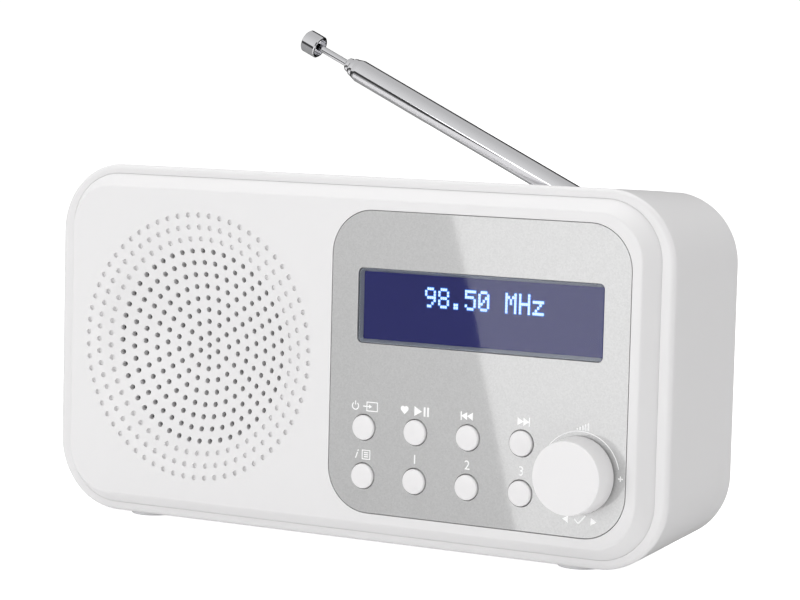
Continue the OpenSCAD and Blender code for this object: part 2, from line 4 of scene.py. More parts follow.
import bpy
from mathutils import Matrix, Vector

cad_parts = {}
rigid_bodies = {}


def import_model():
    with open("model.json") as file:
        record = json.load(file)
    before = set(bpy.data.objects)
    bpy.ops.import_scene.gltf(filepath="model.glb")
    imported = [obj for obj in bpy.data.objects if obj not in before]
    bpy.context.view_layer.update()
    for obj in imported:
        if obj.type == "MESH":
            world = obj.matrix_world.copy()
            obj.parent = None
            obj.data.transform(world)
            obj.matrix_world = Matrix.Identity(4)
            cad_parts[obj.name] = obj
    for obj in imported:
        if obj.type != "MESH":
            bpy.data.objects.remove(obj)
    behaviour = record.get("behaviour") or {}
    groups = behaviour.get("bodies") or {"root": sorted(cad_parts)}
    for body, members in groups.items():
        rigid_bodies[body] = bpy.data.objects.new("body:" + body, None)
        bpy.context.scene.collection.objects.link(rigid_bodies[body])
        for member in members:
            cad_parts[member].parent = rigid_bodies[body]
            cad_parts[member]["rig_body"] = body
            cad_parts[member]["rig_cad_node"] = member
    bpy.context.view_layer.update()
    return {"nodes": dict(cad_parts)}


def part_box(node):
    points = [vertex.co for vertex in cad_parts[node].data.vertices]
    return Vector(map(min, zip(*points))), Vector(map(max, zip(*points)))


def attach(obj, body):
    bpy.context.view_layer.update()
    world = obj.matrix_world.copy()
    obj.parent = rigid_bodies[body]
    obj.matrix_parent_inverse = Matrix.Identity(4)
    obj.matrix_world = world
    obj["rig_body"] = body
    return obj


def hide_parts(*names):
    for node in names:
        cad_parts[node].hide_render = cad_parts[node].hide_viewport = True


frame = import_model()
mm = 0.001

# Places are given from the middle of the front face: x right, z up, y towards the back
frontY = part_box("control_panel")[0].y
midZ = sum(corner.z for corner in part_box("case_shell")) / 2
faceCentre = Vector((0, frontY, midZ))
facingFront = (math.radians(90), 0, 0)

case = {"width": 190, "height": 98, "corner": 19.4, "rimY": 4.6, "backY": 51, "draft": 2.4,
        "rimRound": 1.5, "backRound": 1.2, "seat": 6.1, "innerWall": 15.2}
fascia = {"width": 182.55, "height": 92.75, "corner": 15.84, "backY": 10.5, "slope": 3.0, "edge": 0.8, "skin": 2.6,
          "gap": 0.06}
grille = {"x": -45.8, "pitch": 3.3, "open": 8, "rings": 11, "hole": 0.76, "dish": 6.7, "curve": 0.00594,
          "blend": 0.7, "radius": 38.5, "wall": 2, "dimple": 0.75}
panel = {"x": 41.4, "width": 87.6, "height": 80.6, "corner": 12, "thick": 1.15, "gap": 0.18}
window = {"x": 41.65, "z": 15.05, "width": 72.2, "height": 20, "corner": 1.4, "glassW": 70.4, "glassH": 17.4,
          "lens": 0.6, "borderY": 1.8}
display = {"text": "98.50 MHz", "left": 25.0, "top": 20.9, "charPitch": 3.96, "dotX": 0.64, "dotZ": 0.755,
           "dot": (0.56, 0.66)}
button = {"x": 8.3, "z": -17.5, "dx": 15.7, "dz": 13, "radius": 3.35, "proud": 0.8, "gap": 0.22}
knob = {"x": 72.3, "z": -24, "radius": 10, "face": 9.5, "height": 8.1, "gap": 0.6}
aerial = {"pivot": (68, 46, 33.6), "angle": 25.3, "mast": (5, 101.8, 3.2), "middle": (10, 103.4, 2.65),
          "inner": (12, 104.9, 2.05), "rod": (24, 117.1, 0.95), "tip": (115.1, 4.8, 3.25)}

coreX = case["width"] / 2 - case["corner"]
coreZ = case["height"] / 2 - case["corner"]



def deselectAll():
    if bpy.context.mode != "OBJECT":
        bpy.ops.object.mode_set(mode="OBJECT")
    bpy.ops.object.select_all(action="DESELECT")


def pick(*pieces):
    deselectAll()
    for piece in pieces:
        piece.select_set(True)
    bpy.context.view_layer.objects.active = pieces[0]
    return pieces[0]


def editAll(piece, mode="FACE"):
    pick(piece)
    bpy.ops.object.mode_set(mode="EDIT")
    bpy.ops.mesh.select_mode(type=mode)
    bpy.ops.mesh.select_all(action="SELECT")


def selectFaces(piece, test):
    editAll(piece)
    bpy.ops.mesh.select_all(action="DESELECT")
    bpy.ops.object.mode_set(mode="OBJECT")
    for face in piece.data.polygons:
        face.select = test(face)
    bpy.ops.object.mode_set(mode="EDIT")


def selectEdges(piece, test):
    editAll(piece, "EDGE")
    bpy.ops.mesh.select_all(action="DESELECT")
    bpy.ops.object.mode_set(mode="OBJECT")
    points = piece.data.vertices
    for edge in piece.data.edges:
        edge.select = all(test(points[v].co / mm) for v in edge.vertices)
    bpy.ops.object.mode_set(mode="EDIT")


def raiseFace(rise):
    bpy.ops.mesh.extrude_region_move(TRANSFORM_OT_translate={"value": (0, 0, rise * mm)})


def insetFace(thickness, rise=0):
    bpy.ops.mesh.inset(thickness=thickness * mm, depth=rise * mm, use_even_offset=True)


def closeUp(piece):
    editAll(piece, "VERT")
    bpy.ops.mesh.remove_doubles(threshold=0.002 * mm)
    bpy.ops.mesh.fill_holes(sides=0)
    bpy.ops.mesh.normals_make_consistent(inside=False)
    bpy.ops.object.mode_set(mode="OBJECT")


def settle(piece, turn, place):
    pick(piece)
    piece.rotation_euler = turn
    piece.location = place
    bpy.ops.object.transform_apply(location=True, rotation=True, scale=True)
    return piece


def joinAll(pieces, name):
    pick(*pieces)
    bpy.ops.object.join()
    bpy.ops.object.transform_apply(location=True, rotation=False, scale=False)
    bpy.context.object.name = name
    return bpy.context.object


def copyOf(piece, shift):
    twin = piece.copy()
    twin.data = piece.data.copy()
    twin.location = Vector(shift) * mm
    bpy.context.scene.collection.objects.link(twin)
    return twin


def applyModifier(piece, kind, **values):
    pick(piece)
    modifier = piece.modifiers.new(kind.lower(), kind)
    for key, value in values.items():
        setattr(modifier, key, value)
    bpy.ops.object.modifier_apply(modifier=modifier.name)


def cut(piece, cutter, operation="DIFFERENCE"):
    applyModifier(piece, "BOOLEAN", object=cutter, operation=operation, solver="EXACT")
    bpy.data.objects.remove(cutter)


def smooth(piece, degrees=32):
    pick(piece)
    bpy.ops.object.shade_smooth_by_angle(angle=math.radians(degrees))
    applyModifier(piece, "WEIGHTED_NORMAL", keep_sharp=True, weight=60)
    return piece


def finishPiece(piece, material, body, *nodes, slot=None):
    piece.data.materials.clear()
    piece.data.materials.append(material)
    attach(piece, body)
    if nodes:
        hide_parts(*nodes)
    return piece


# A plate with round corners, drawn flat: its local z is later turned to face the front
def roundedPlate(name, x, y, width, height, corner, z, segments=12):
    deselectAll()
    bpy.ops.mesh.primitive_plane_add(size=1)
    plate = bpy.context.object
    plate.name = name
    plate.scale = (width * mm, height * mm, 1)
    plate.location = (x * mm, y * mm, z * mm)
    bpy.ops.object.transform_apply(location=True, rotation=False, scale=True)
    editAll(plate, "VERT")
    bpy.ops.mesh.bevel(offset=corner * mm, segments=segments, affect="VERTICES")
    bpy.ops.mesh.select_mode(type="FACE")
    bpy.ops.mesh.select_all(action="SELECT")
    return plate


def roundedBlock(name, x, y, width, height, corner, low, high, segments=12):
    block = roundedPlate(name, x, y, width, height, corner, low, segments)
    raiseFace(high - low)
    closeUp(block)
    return block


# A turned piece: each step draws the ring out to the next (radius, height)
def turned(name, profile, segments=64, hollow=False, x=0, y=0):
    deselectAll()
    radius, height = profile[0]
    bpy.ops.mesh.primitive_circle_add(vertices=segments, radius=radius * mm, location=(0, 0, height * mm))
    piece = bpy.context.object
    piece.name = name
    bpy.ops.object.transform_apply(location=True, rotation=False, scale=False)
    editAll(piece, "EDGE")
    for nextRadius, nextHeight in profile[1:]:
        raiseFace(nextHeight - height)
        grow = nextRadius / radius
        bpy.ops.transform.resize(value=(grow, grow, 1), center_override=(0, 0, nextHeight * mm))
        radius, height = nextRadius, nextHeight
    if hollow:
        bpy.ops.mesh.select_all(action="DESELECT")
        bpy.ops.mesh.select_non_manifold()
        bpy.ops.mesh.bridge_edge_loops()
    closeUp(piece)
    piece.location = (x * mm, y * mm, 0)
    bpy.ops.object.transform_apply(location=True, rotation=False, scale=False)
    return piece


def arcPoints(centreR, centreH, radius, start, end, steps):
    angles = [math.radians(start + (end - start) * i / steps) for i in range(steps + 1)]
    return [(centreR + radius * math.cos(a), centreH + radius * math.sin(a)) for a in angles]



def addNode(tree, kind, **values):
    node = tree.nodes.new(kind)
    for key, value in values.items():
        setattr(node, key, value)
    return node


def newGroup(name, inputs, outputs):
    group = bpy.data.node_groups.new(name, "ShaderNodeTree")
    for label, kind, value in inputs:
        socket = group.interface.new_socket(name=label, in_out="INPUT", socket_type=kind)
        socket.default_value = value
    for label, kind in outputs:
        group.interface.new_socket(name=label, in_out="OUTPUT", socket_type=kind)
    return group, group.nodes.new("NodeGroupInput"), group.nodes.new("NodeGroupOutput")


# Slow drift of tone, and the fine grain that a mould or a spray coat leaves
def makeSurfaceGroup():
    group, inside, out = newGroup(
        "surfaceGrain",
        [("Tone", "NodeSocketColor", (0.8, 0.8, 0.8, 1)), ("Drift", "NodeSocketFloat", 0.03),
         ("Grain Size", "NodeSocketFloat", 1500.0), ("Rough", "NodeSocketFloat", 0.4),
         ("Rough Spread", "NodeSocketFloat", 0.08)],
        [("Color", "NodeSocketColor"), ("Roughness", "NodeSocketFloat"), ("Height", "NodeSocketFloat")])
    link = group.links.new
    place = addNode(group, "ShaderNodeTexCoord")
    slow = addNode(group, "ShaderNodeTexNoise")
    slow.inputs["Scale"].default_value = 22
    slow.inputs["Detail"].default_value = 3
    link(place.outputs["Object"], slow.inputs["Vector"])
    fine = addNode(group, "ShaderNodeTexNoise")
    fine.inputs["Detail"].default_value = 2
    link(place.outputs["Object"], fine.inputs["Vector"])
    link(inside.outputs["Grain Size"], fine.inputs["Scale"])
    centred = addNode(group, "ShaderNodeMath", operation="SUBTRACT")
    centred.inputs[1].default_value = 0.5
    link(slow.outputs["Fac"], centred.inputs[0])
    swing = addNode(group, "ShaderNodeMath", operation="MULTIPLY_ADD")
    swing.inputs[2].default_value = 1
    link(centred.outputs[0], swing.inputs[0])
    link(inside.outputs["Drift"], swing.inputs[1])
    tint = addNode(group, "ShaderNodeVectorMath", operation="SCALE")
    link(inside.outputs["Tone"], tint.inputs[0])
    link(swing.outputs[0], tint.inputs["Scale"])
    link(tint.outputs["Vector"], out.inputs["Color"])
    fineCentred = addNode(group, "ShaderNodeMath", operation="SUBTRACT")
    fineCentred.inputs[1].default_value = 0.5
    link(fine.outputs["Fac"], fineCentred.inputs[0])
    rough = addNode(group, "ShaderNodeMath", operation="MULTIPLY_ADD")
    link(fineCentred.outputs[0], rough.inputs[0])
    link(inside.outputs["Rough Spread"], rough.inputs[1])
    link(inside.outputs["Rough"], rough.inputs[2])
    link(rough.outputs[0], out.inputs["Roughness"])
    link(fine.outputs["Fac"], out.inputs["Height"])
    return group


surfaceGrain = makeSurfaceGroup()


def grainedMaterial(name, tone, rough=0.4, spread=0.08, drift=0.03, grain=1500.0, bump=0.02, **sockets):
    material = bpy.data.materials.new(name)
    material.use_nodes = True
    tree = material.node_tree
    shader = tree.nodes["Principled BSDF"]
    skin = addNode(tree, "ShaderNodeGroup")
    skin.node_tree = surfaceGrain
    skin.inputs["Tone"].default_value = (*tone, 1)
    skin.inputs["Drift"].default_value = drift
    skin.inputs["Grain Size"].default_value = grain
    skin.inputs["Rough"].default_value = rough
    skin.inputs["Rough Spread"].default_value = spread
    relief = addNode(tree, "ShaderNodeBump")
    relief.inputs["Strength"].default_value = 0.5
    relief.inputs["Distance"].default_value = bump * mm
    tree.links.new(skin.outputs["Color"], shader.inputs["Base Color"])
    tree.links.new(skin.outputs["Roughness"], shader.inputs["Roughness"])
    tree.links.new(skin.outputs["Height"], relief.inputs["Height"])
    tree.links.new(relief.outputs["Normal"], shader.inputs["Normal"])
    for key, value in sockets.items():
        shader.inputs[key.replace("_", " ")].default_value = value
    return material


# Silver lacquer: fine flakes of slightly different brightness under a clear gloss coat
def makeSilverLacquer():
    material = grainedMaterial("silverLacquer", (0.57, 0.57, 0.57), rough=0.42, spread=0.1, drift=0.02,
                               grain=900, bump=0.004, Metallic=0.35, Coat_Weight=1.0, Coat_Roughness=0.03,
                               Coat_IOR=1.73)
    tree = material.node_tree
    shader = tree.nodes["Principled BSDF"]
    skin = next(n for n in tree.nodes if n.bl_idname == "ShaderNodeGroup")
    place = addNode(tree, "ShaderNodeTexCoord")
    flake = addNode(tree, "ShaderNodeTexVoronoi")
    flake.inputs["Scale"].default_value = 2600
    tree.links.new(place.outputs["Object"], flake.inputs["Vector"])
    level = addNode(tree, "ShaderNodeMapRange")
    level.inputs["To Min"].default_value = 0.93
    level.inputs["To Max"].default_value = 1.07
    tree.links.new(flake.outputs["Color"], level.inputs["Value"])
    tint = addNode(tree, "ShaderNodeVectorMath", operation="SCALE")
    tree.links.new(skin.outputs["Color"], tint.inputs[0])
    tree.links.new(level.outputs["Result"], tint.inputs["Scale"])
    tree.links.new(tint.outputs["Vector"], shader.inputs["Base Color"])
    return material


# Bright chrome: fine noise grain in tone and roughness
def makeChrome():
    material = grainedMaterial("brightChrome", (0.82, 0.82, 0.84), rough=0.07, spread=0.04, drift=0.02,
                               grain=3000, bump=0.0005, Metallic=1.0)
    return material


# Blue display cell: a dark blue ground with a faint blue backlight glow
def makeDisplayBlue():
    material = grainedMaterial("displayBlue", (0.022, 0.02, 0.105), rough=0.35, spread=0.04, drift=0.1,
                               grain=1800, bump=0.001, Specular_IOR_Level=0.02)
    shader = material.node_tree.nodes["Principled BSDF"]
    shader.inputs["Emission Color"].default_value = (0.077, 0.087, 0.293, 1)
    shader.inputs["Emission Strength"].default_value = 0.3
    return material


def makeGlow(name, colour, strength):
    material = grainedMaterial(name, colour, rough=0.5, drift=0.05)
    shader = material.node_tree.nodes["Principled BSDF"]
    shader.inputs["Emission Color"].default_value = (*colour, 1)
    shader.inputs["Emission Strength"].default_value = strength
    return material


print("materials")
whiteFront = grainedMaterial("whiteFront", (0.80, 0.793, 0.797), rough=0.38, drift=0.015, grain=1400, bump=0.006)
whiteCase = grainedMaterial("whiteCase", (0.80, 0.793, 0.797), rough=0.30, drift=0.015, grain=1400, bump=0.004)
whiteButton = grainedMaterial("whiteButton", (0.83, 0.82, 0.825), rough=0.33, drift=0.01, grain=2000, bump=0.003)
# White print with a painted glow: a faint white emission makes the marks brighter than the lamps alone would, though
# print gives no light
whitePrintPaintedGlow = grainedMaterial("whitePrintPaintedGlow", (0.88, 0.88, 0.88), rough=0.5, drift=0.02, grain=3000, bump=0.002,
                             Emission_Color=(1, 1, 1, 1), Emission_Strength=0.12)
silverLacquer = makeSilverLacquer()
borderGrey = grainedMaterial("borderGrey", (0.58, 0.62, 0.66), rough=0.35, drift=0.03, grain=1500, bump=0.003)
clearLens = grainedMaterial("clearLens", (0.97, 0.98, 1.0), rough=0.02, spread=0.01, drift=0.0, bump=0.0002,
                            Transmission_Weight=1.0, IOR=1.33)
displayBlue = makeDisplayBlue()
displayText = makeGlow("displayText", (0.70, 0.97, 1.0), 0.85)
displayHalo = makeGlow("displayHalo", (0.05, 0.22, 0.80), 0.35)
chrome = makeChrome()
steel = grainedMaterial("platedSteel", (0.55, 0.55, 0.56), rough=0.3, spread=0.15, grain=2500, bump=0.003, Metallic=1.0)
whiteRubber = grainedMaterial("whiteRubber", (0.66, 0.66, 0.67), rough=0.6, spread=0.15, grain=1200, bump=0.02)
blackRubber = grainedMaterial("blackRubber", (0.028, 0.028, 0.03), rough=0.75, spread=0.2, grain=1200, bump=0.03)
blackPlastic = grainedMaterial("blackPlastic", (0.03, 0.03, 0.033), rough=0.5, grain=1500, bump=0.01)
boardGreen = grainedMaterial("boardGreen", (0.03, 0.16, 0.07), rough=0.35, drift=0.2, grain=700, bump=0.02)
paperCone = grainedMaterial("paperCone", (0.05, 0.05, 0.052), rough=0.85, drift=0.3, grain=900, bump=0.05)
ferrite = grainedMaterial("ferrite", (0.07, 0.07, 0.075), rough=0.55, drift=0.2, grain=600, bump=0.03)
cellJacket = grainedMaterial("cellJacket", (0.06, 0.09, 0.14), rough=0.25, drift=0.1, grain=800, bump=0.004)
redWire = grainedMaterial("redWire", (0.42, 0.03, 0.03), rough=0.45, grain=1500, bump=0.01)
flatCable = grainedMaterial("flatCable", (0.55, 0.55, 0.57), rough=0.4, grain=500, bump=0.02)
milkyGuide = grainedMaterial("milkyGuide", (0.85, 0.85, 0.85), rough=0.4, grain=1500, bump=0.005)



def makeCase():
    backScale = (1 - 2 * case["draft"] / case["width"], 1 - 2 * case["draft"] / case["height"])
    depth = case["backY"] - case["rimY"]
    shell = roundedPlate("caseSleeve", 0, 0, case["width"], case["height"], case["corner"], -case["backY"], 24)
    bpy.ops.transform.resize(value=(*backScale, 1), center_override=(0, 0, 0))
    raiseFace(depth)
    bpy.ops.transform.resize(value=(1 / backScale[0], 1 / backScale[1], 1), center_override=(0, 0, 0))
    closeUp(shell)
    selectEdges(shell, lambda p: abs(p.z + case["rimY"]) < 0.01)
    bpy.ops.mesh.bevel(offset=case["rimRound"] * mm, segments=6)
    selectEdges(shell, lambda p: abs(p.z + case["backY"]) < 0.01)
    bpy.ops.mesh.bevel(offset=case["backRound"] * mm, segments=4)
    bpy.ops.object.mode_set(mode="OBJECT")
    seat = case["rimY"] + case["seat"]
    opening = [fascia[side] + 2 * fascia["gap"] for side in ("width", "height")]
    cut(shell, roundedBlock("mouth", 0, 0, *opening, fascia["corner"] + fascia["gap"], -seat, 1, 24))
    inside = [2 * (core + case["innerWall"]) for core in (coreX, coreZ)]
    cut(shell, roundedBlock("inside", 0, 0, *inside, case["innerWall"], -case["backY"] - 5, -seat + 0.5, 24))
    cut(shell, roundedBlock("notch", 7, 45, 138, 34, 0.5, -case["backY"] - 5, -41, 2))
    applyModifier(shell, "BEVEL", width=0.12 * mm, segments=2, limit_method="ANGLE", angle_limit=math.radians(50))
    settle(shell, facingFront, faceCentre)
    smooth(shell, 35)
    return finishPiece(shell, whiteCase, "cabinet", "case_shell", slot="case_white")



def dishDepth(radius):
    fall = grille["dish"] - grille["curve"] * radius * radius
    full = (fall + math.sqrt(fall * fall + grille["blend"] ** 2)) / 2
    return max(full - 0.055 * (radius / grille["radius"]) ** 4, 0)


def makeDishCutter():
    steps = 30
    radii = [0.4 + (grille["radius"] - 0.4) * i / steps for i in range(steps + 1)]
    profile = [(r, -dishDepth(r)) for r in radii] + [(grille["radius"], 1)]
    return turned("dish", profile, segments=128, x=grille["x"])


def makeBoss():
    radii = [0.4 + 28 * i / 8 for i in range(9)]
    profile = [(r, -dishDepth(r) - grille["wall"]) for r in radii] + [(29, -5), (34, -5), (34, -1)]
    return turned("boss", profile, segments=96, x=grille["x"])


def makeHoleCutters():
    longHole = turned("longHole", [(grille["hole"], -13), (grille["hole"], 1)], segments=14)
    shortHole = turned("shortHole", [(grille["hole"] * 0.5, -0.08), (grille["hole"] * 0.85, 0), (grille["hole"], 0.22),
                                     (grille["hole"], 4)], segments=14)
    holes = [copyOf(longHole, (grille["x"], 0, 0))]
    for ring in range(1, grille["rings"] + 1):
        radius = ring * grille["pitch"]
        through = ring <= grille["open"]
        for i in range(6 * ring):
            angle = math.radians(90 + 60 * i / ring)
            x = grille["x"] + radius * math.cos(angle)
            y = radius * math.sin(angle)
            bottom = 0 if through else -dishDepth(radius) - grille["dimple"]
            holes.append(copyOf(longHole if through else shortHole, (x, y, bottom)))
    bpy.data.objects.remove(longHole)
    bpy.data.objects.remove(shortHole)
    return joinAll(holes, "grilleHoles")


def controlCutters(gap, low, high):
    places = [(button["x"] + c * button["dx"], button["z"] - r * button["dz"]) for c in range(4) for r in range(2)]
    cutters = [turned("hole", [(button["radius"] + gap, low), (button["radius"] + gap, high)], 48, x=x, y=z)
               for x, z in places]
    cutters.append(turned("knobHole", [(4, low), (4, high)], 48, x=knob["x"], y=knob["z"]))
    return cutters


def makeFascia():
    corner = fascia["corner"]
    front = roundedPlate("frontFascia", 0, 0, fascia["width"], fascia["height"], corner, -fascia["backY"], 24)
    raiseFace(fascia["backY"] - case["rimY"])
    edge = arcPoints(corner - fascia["slope"] - 0.69, -fascia["edge"], fascia["edge"], 30, 90, 4)
    here = (corner, -case["rimY"])
    for step in edge:
        insetFace(here[0] - step[0], step[1] - here[1])
        here = step
    closeUp(front)
    selectFaces(front, lambda face: face.normal.z < -0.9)
    insetFace(fascia["skin"])
    raiseFace(fascia["backY"] - fascia["skin"])
    closeUp(front)
    cut(front, makeBoss(), "UNION")
    cut(front, makeDishCutter())
    cut(front, roundedBlock("pocket", panel["x"], 0, panel["width"] + 2 * panel["gap"],
                            panel["height"] + 2 * panel["gap"], panel["corner"] + panel["gap"], -1.2, 1, 16))
    opening = roundedBlock("opening", window["x"], window["z"], window["width"] + 2, window["height"] + 2, 2, -5, 1)
    cut(front, joinAll([makeHoleCutters(), opening, *controlCutters(0.2, -5, 1)], "frontCutters"))
    settle(front, facingFront, faceCentre)
    smooth(front, 35)
    return finishPiece(front, whiteFront, "cabinet", "front_fascia", slot="front_white")



def makePanel():
    plate = roundedBlock("controlPanel", panel["x"], 0, panel["width"], panel["height"], panel["corner"],
                         -panel["thick"], 0, 16)
    opening = roundedBlock("opening", window["x"], window["z"], window["width"], window["height"],
                           window["corner"], -3, 1, 6)
    cut(plate, joinAll([opening, *controlCutters(button["gap"], -3, 1)], "panelCutters"))
    applyModifier(plate, "BEVEL", width=0.14 * mm, segments=2, limit_method="ANGLE", angle_limit=math.radians(50))
    settle(plate, facingFront, faceCentre)
    smooth(plate)
    return finishPiece(plate, silverLacquer, "cabinet", "control_panel", slot="panel_silver")


def makeBezel():
    rim = roundedPlate("displayBorder", window["x"], window["z"], window["width"] - 0.2, window["height"] - 0.2,
                       window["corner"] - 0.1, -3, 6)
    raiseFace(3 - window["lens"] - 0.2)
    insetFace(0.25)
    border = (window["width"] - 0.2 - window["glassW"]) / 2 - 0.25
    insetFace(border, -(window["borderY"] - window["lens"] - 0.2))
    raiseFace(-0.35)
    closeUp(rim)
    settle(rim, facingFront, faceCentre)
    smooth(rim, 25)
    return finishPiece(rim, borderGrey, "cabinet", "display_bezel", slot="bezel_grey")


def makeLens():
    lens = roundedBlock("displayLens", window["x"], window["z"], window["width"] - 0.24, window["height"] - 0.24,
                        window["corner"] - 0.1, -0.15 - window["lens"], -0.15, 6)
    applyModifier(lens, "BEVEL", width=0.18 * mm, segments=2, limit_method="ANGLE", angle_limit=math.radians(50))
    settle(lens, facingFront, faceCentre)
    smooth(lens)
    return finishPiece(lens, clearLens, "cabinet", "display_lens", slot="display_lens")


def makeCell():
    cell = roundedBlock("displayCell", window["x"], window["z"], window["glassW"] + 0.6, window["glassH"] + 0.6,
                        0.6, -2.6, -2.0, 4)
    settle(cell, facingFront, faceCentre)
    return finishPiece(cell, displayBlue, "cabinet", "display_glass", slot="display_blue")


dotRows = {
    "9": (".###.", "#...#", "#...#", ".####", "....#", "...#.", ".##.."),
    "8": (".###.", "#...#", "#...#", ".###.", "#...#", "#...#", ".###."),
    "5": ("#####", "#....", "####.", "....#", "....#", "#...#", ".###."),
    "0": (".###.", "#...#", "#..##", "#.#.#", "##..#", "#...#", ".###."),
    "M": ("#...#", "##.##", "#.#.#", "#.#.#", "#...#", "#...#", "#...#"),
    "H": ("#...#", "#...#", "#...#", "#####", "#...#", "#...#", "#...#"),
    "z": (".....", ".....", "#####", "...#.", "..#..", ".#...", "#####"),
    ".": (".....", ".....", ".....", ".....", ".....", ".##..", ".##.."),
    " ": (),
}


def litDots():
    for place, letter in enumerate(display["text"]):
        for row, cells in enumerate(dotRows[letter]):
            for column, cell in enumerate(cells):
                if cell == "#":
                    yield (display["left"] + place * display["charPitch"] + (column + 0.5) * display["dotX"],
                           display["top"] - (row + 0.5) * display["dotZ"])


def makeDots(name, size, low, high, material):
    dot = roundedBlock("dot", 0, 0, size[0], size[1], 0.12, low, high, 2)
    dots = joinAll([copyOf(dot, (x, z, 0)) for x, z in litDots()], name)
    bpy.data.objects.remove(dot)
    settle(dots, facingFront, faceCentre)
    return finishPiece(dots, material, "cabinet")


def bar(x, z, width, height, turn=0, corner=0.05):
    piece = roundedBlock("bar", 0, 0, width, height, min(corner, width / 3, height / 3), 0, 0.035, 2)
    piece.rotation_euler = (0, 0, math.radians(turn))
    piece.location = (x * mm, z * mm, 0)
    bpy.ops.object.transform_apply(location=True, rotation=True, scale=False)
    return piece


def triangle(x, z, width, height, turn=0):
    piece = turned("triangle", [(1, 0), (1, 0.035)], segments=3)
    piece.scale = (height / math.sqrt(3), width / 1.5, 1)
    bpy.ops.object.transform_apply(location=False, rotation=False, scale=True)
    piece.rotation_euler = (0, 0, math.radians(turn))
    piece.location = (x * mm, z * mm, 0)
    bpy.ops.object.transform_apply(location=True, rotation=True, scale=False)
    return piece


def ringArc(x, z, radius, width, start, end, segments=48):
    ring = turned("ring", [(radius - width / 2, 0), (radius + width / 2, 0), (radius + width / 2, 0.035),
                           (radius - width / 2, 0.035)], segments, hollow=True)

    def outsideArc(face):
        angle = math.degrees(math.atan2(face.center.y, face.center.x))
        return (angle - start) % 360 > end - start
    selectFaces(ring, outsideArc)
    bpy.ops.mesh.delete(type="FACE")
    closeUp(ring)
    ring.location = (x * mm, z * mm, 0)
    bpy.ops.object.transform_apply(location=True, rotation=False, scale=False)
    return ring


def frameOutline(x, z, width, height, line):
    return [bar(x, z + side * (height - line) / 2, width, line) for side in (-1, 1)] + \
           [bar(x + side * (width - line) / 2, z, line, height) for side in (-1, 1)]


def heart(x, z, side):
    lobes = [turned("lobe", [(side / 2, 0), (side / 2, 0.035)], 32, x=x + way * side * 0.354, y=z + side * 0.354)
             for way in (-1, 1)]
    return lobes + [bar(x, z, side, side, 45, 0.02)]


def sign(text, x, z, size, shear=0):
    deselectAll()
    bpy.ops.object.text_add(location=(0, 0, 0))
    letter = bpy.context.object
    letter.data.body = text
    letter.data.size = size * mm
    letter.data.shear = shear
    letter.data.align_x = "CENTER"
    letter.data.align_y = "CENTER"
    letter.data.extrude = 0.018 * mm
    letter.data.resolution_u = 4
    bpy.ops.object.convert(target="MESH")
    letter = bpy.context.object
    letter.location = (x * mm, z * mm, 0.018 * mm)
    bpy.ops.object.transform_apply(location=True, rotation=False, scale=False)
    return letter


def makePrinting():
    first, second = -11.8, -24.75
    marks = [ringArc(5.6, first - 0.1, 0.95, 0.3, 125, 415), bar(5.6, first + 0.75, 0.28, 1.1)]
    marks += frameOutline(10.75, first, 3.5, 2.6, 0.26)
    marks += [bar(9.1, first, 2.2, 0.32), triangle(10.1, first, 0.9, 1.1, -90)]
    marks += heart(20.65, first - 0.1, 1.4)
    marks += [triangle(24.4, first, 2.3, 2.6, -90), bar(26.7, first, 0.55, 2.5), bar(27.75, first, 0.55, 2.5)]
    for side, centre in ((1, 39.75), (-1, 55.5)):
        marks.append(bar(centre - side * 2.1, first, 0.35, 2.3))
        marks += [triangle(centre + side * shift, first, 1.75, 2.1, 90 * side) for shift in (-0.95, 0.75)]
    marks.append(sign("i", 6.0, second, 3.6, 0.35))
    marks += frameOutline(9.2, second, 2.6, 2.6, 0.24)
    marks += [bar(9.2, second + shift, 1.3, 0.28) for shift in (-0.55, 0, 0.55)]
    marks += [sign(text, x, second, 3.5) for text, x in (("1", 24.05), ("2", 39.75), ("3", 55.6))]
    marks.append(ringArc(knob["x"], knob["z"], 11.15, 0.28, 12, 168, 180))
    marks += [bar(knob["x"] + 11.5, knob["z"], 1.4, 0.34), bar(knob["x"] + 11.5, knob["z"], 0.34, 1.4),
              bar(knob["x"] - 11.5, knob["z"], 1.4, 0.34)]
    marks += [bar(71.3 + 0.78 * i, -12.5 + 0.2 * (i + 1), 0.42, 0.4 * (i + 1)) for i in range(5)]
    marks += [triangle(68.9, -35.7, 1.7, 2.0, 90), triangle(76.4, -35.7, 1.7, 2.0, -90)]
    marks += [bar(71.75, -36.0, 1.5, 0.36, -45), bar(73.35, -35.45, 2.9, 0.36, 48)]
    # Each mark is a hair thicker than the last, so that strokes which cross don't share a face
    for step, mark in enumerate(marks):
        pick(mark)
        mark.scale.z = 1 + 0.08 * (step % 7)
        bpy.ops.object.transform_apply(location=False, rotation=False, scale=True)
    printing = joinAll(marks, "panelPrinting")
    settle(printing, facingFront, faceCentre)
    return finishPiece(printing, whitePrintPaintedGlow, "cabinet")



def makeButtons():
    names = (("power", "info"), ("play", "preset_1"), ("previous", "preset_2"), ("next", "preset_3"))
    radius, proud = button["radius"], button["proud"]
    dome = [(max((radius - 0.45) * (1 - i / 5), 0.2), proud - 0.12 * (1 - i / 5) ** 2) for i in range(6)]
    profile = [(radius + 1.1, -3.5), (radius + 1.1, -2.7), (radius, -2.7)] \
        + arcPoints(radius - 0.45, proud - 0.57, 0.45, 0, 80, 5) + dome[1:]
    for column, pair in enumerate(names):
        for row, name in enumerate(pair):
            cap = turned(name + "Cap", profile, 48, x=button["x"] + column * button["dx"],
                         y=button["z"] - row * button["dz"])
            settle(cap, facingFront, faceCentre)
            smooth(cap, 40)
            node = name + "_button"
            finishPiece(cap, whiteButton, node, node, slot="button_white")


